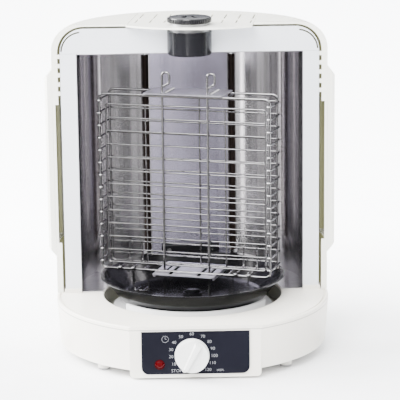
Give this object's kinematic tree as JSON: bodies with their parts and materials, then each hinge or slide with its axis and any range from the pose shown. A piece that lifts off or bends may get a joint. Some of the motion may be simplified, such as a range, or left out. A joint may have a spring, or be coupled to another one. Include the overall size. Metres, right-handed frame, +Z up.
{
  "type": "electric skewer grill",
  "caption": "Tabletop electric grill: round base with timer, upright wire basket on a turning drip pan, heating rods behind it and a curved reflecting housing open at the front.",
  "frame": {"origin": "on the tabletop, under the axis on which the turntable and basket turn", "axes": "+Z up, the open front and the control panel face -Y, +X to the viewer's right when facing the front"},
  "size_m": [0.335, 0.3162, 0.387],
  "materials": {
    "shell_white": "satin moulded",
    "hood_white": "satin enamel",
    "frame_white": "satin enamel",
    "knob_black": "satin black",
    "knob_white": "fine matt",
    "panel_slate": "matt",
    "carrier_white": "satin enamel",
    "well_grey": "satin",
    "inner_plastic": "matt",
    "rubber_black": "matt",
    "lamp_red": "clear gloss",
    "screw_steel": "plain",
    "plain_steel": "plain",
    "brass_bush": "turned",
    "pan_black": "gloss enamel",
    "wire_chrome": "bright",
    "reflector_steel": "polished",
    "floor_steel": "polished",
    "heater_brown": "heat-browned"
  },
  "bodies": {
    "housing": {"base_lower_shell": "shell_white", "base_top_deck": "shell_white", "outer_shell": "hood_white", "top_cover": "hood_white", "left_handle": "hood_white", "right_handle": "hood_white", "top_beam": "frame_white", "left_post": "frame_white", "right_post": "frame_white", "bearing_housing": "knob_black", "terminal_cover": "knob_black", "control_panel_plate": "panel_slate", "well_liner": "well_grey", "base_bottom_plate": "inner_plastic", "base_feet": "inner_plastic", "timer_body": "inner_plastic", "foot_pads": "rubber_black", "cord_gland": "rubber_black", "lamp_lens": "lamp_red", "lamp_bezel": "lamp_red", "base_screws": "screw_steel", "terminal_cover_screws": "screw_steel", "heater_clips": "screw_steel", "gear_motor": "plain_steel", "motor_bracket": "plain_steel", "bearing_mount": "plain_steel", "thermal_cutout": "plain_steel", "terminal_block": "plain_steel", "knob_boss": "plain_steel", "shaft_bush": "brass_bush", "left_reflector": "reflector_steel", "right_reflector": "reflector_steel", "rear_reflector": "reflector_steel", "cavity_ceiling": "reflector_steel", "cavity_floor": "floor_steel", "left_heater": "heater_brown", "right_heater": "heater_brown"},
    "turntable": {"turntable_carrier": "carrier_white", "drive_shaft": "plain_steel", "turntable_driver": "knob_black"},
    "pan": {"drip_pan": "pan_black"},
    "basket": {"basket_front_loop": "wire_chrome", "basket_rear_loop": "wire_chrome", "basket_back_wires": "wire_chrome", "basket_side_wires": "wire_chrome", "basket_ties": "wire_chrome", "basket_top_plate": "wire_chrome", "basket_bottom_plate": "wire_chrome", "basket_floor_wires": "wire_chrome", "basket_stand": "wire_chrome"},
    "lid": {"basket_lid": "wire_chrome"},
    "left_lock_pin": {"left_pin": "wire_chrome"},
    "right_lock_pin": {"right_pin": "wire_chrome"},
    "timer": {"timer_knob": "knob_white", "timer_spindle": "plain_steel"},
    "top_lock": {"top_knob": "knob_black", "locating_pin": "plain_steel"}
  },
  "joints": [
    {"name": "turntable_spin", "type": "hinge", "parent": "housing", "child": "turntable", "pos_m": [0, 0, 0.05], "axis": [0, 0, 1], "continuous": true},
    {"name": "drip_pan_lift", "type": "slide", "parent": "turntable", "child": "pan", "axis": [0, 0, 1], "range_m": [0, 0.006]},
    {"name": "basket_lift", "type": "slide", "parent": "pan", "child": "basket", "axis": [0, 0, 1], "range_m": [0, 0.006]},
    {"name": "lid_clamp", "type": "slide", "parent": "basket", "child": "lid", "axis": [0.309, 0.9511, 0], "range_m": [0, 0.02]},
    {"name": "left_pin_lift", "type": "slide", "parent": "lid", "child": "left_lock_pin", "axis": [0, 0, 1], "range_m": [0, 0.005]},
    {"name": "right_pin_lift", "type": "slide", "parent": "lid", "child": "right_lock_pin", "axis": [0, 0, 1], "range_m": [0, 0.005]},
    {"name": "timer_turn", "type": "hinge", "parent": "housing", "child": "timer", "pos_m": [-0.004, -0.14, 0.029], "axis": [0, 1, 0], "range_deg": [0, 287]},
    {"name": "top_knob_lift", "type": "slide", "parent": "housing", "child": "top_lock", "axis": [0, 0, 1], "range_m": [0, 0.01]}
  ]
}
